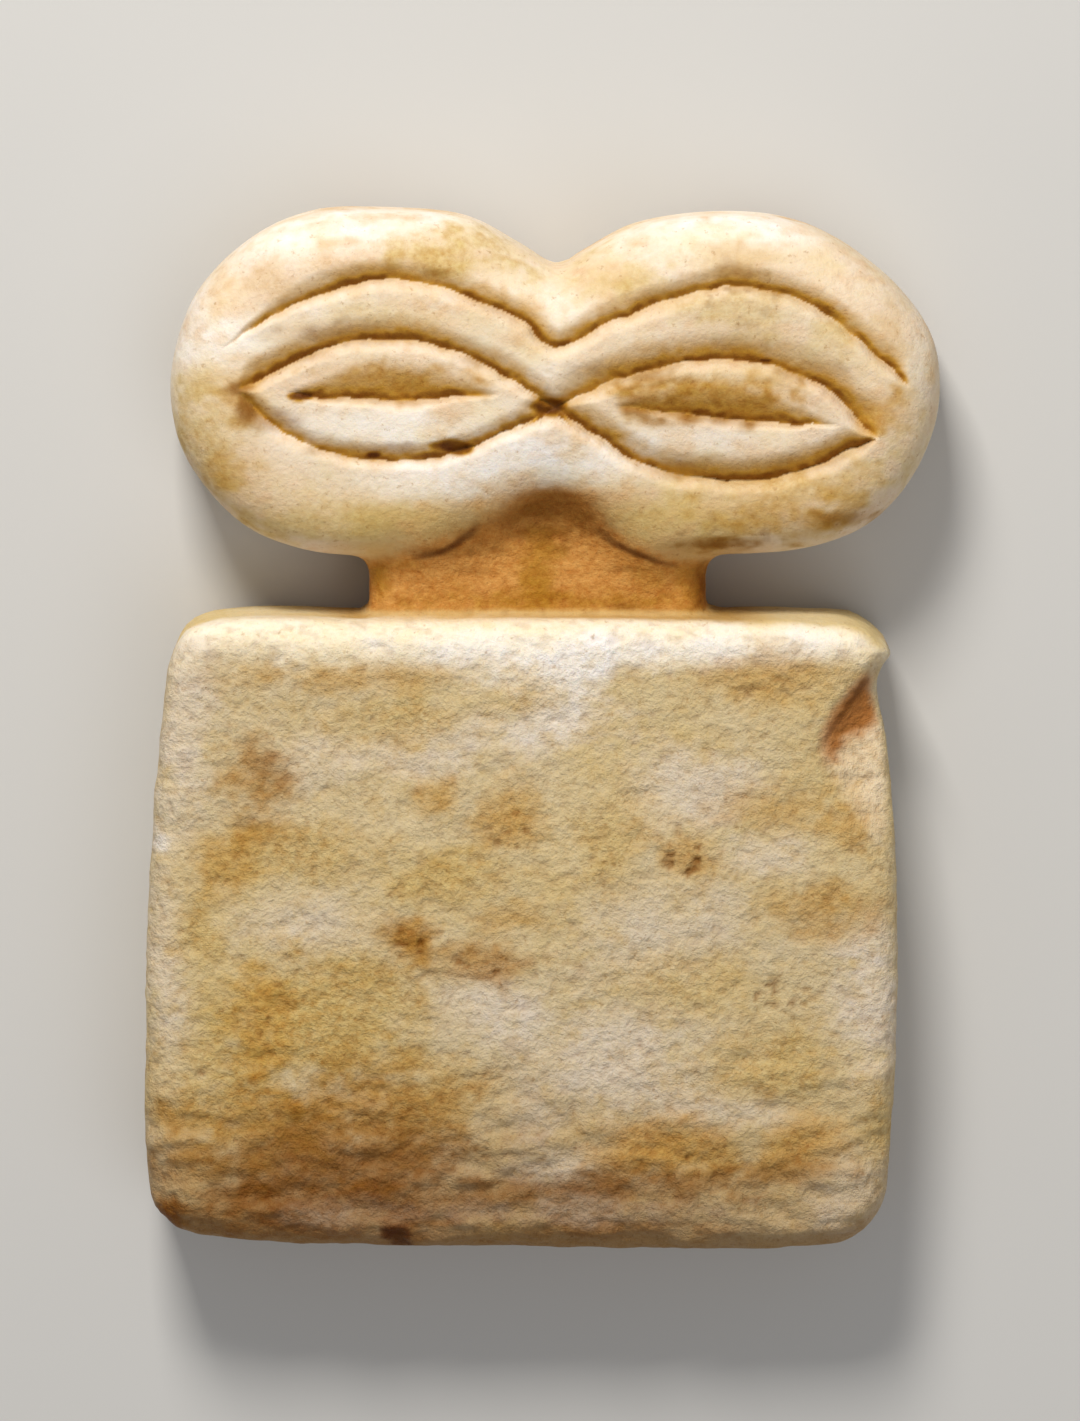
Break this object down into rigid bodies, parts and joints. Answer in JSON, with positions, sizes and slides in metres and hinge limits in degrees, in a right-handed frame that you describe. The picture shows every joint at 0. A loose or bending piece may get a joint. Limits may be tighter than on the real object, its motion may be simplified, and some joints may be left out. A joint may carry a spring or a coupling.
{
  "type": "eye idol",
  "caption": "Small carved stone figure lying on its flat back: a squared body slab, a short set-back neck and a head of two joined eye lobes with cut brows, lids and slit pupils.",
  "frame": {"origin": "on the plane the idol lies on, under the middle of its bounding box", "axes": "+X across the idol towards its chipped shoulder, +Y along it from its base to its head, +Z out of its carved front"},
  "size_m": [0.0458, 0.0602, 0.0096],
  "materials": {
    "alabaster": "worn, unpolished gypsum alabaster: cream to honey beige, with brown mottling and dirt in the cuts"
  },
  "bodies": {
    "root": {"eye_idol": "alabaster"}
  },
  "joints": []
}
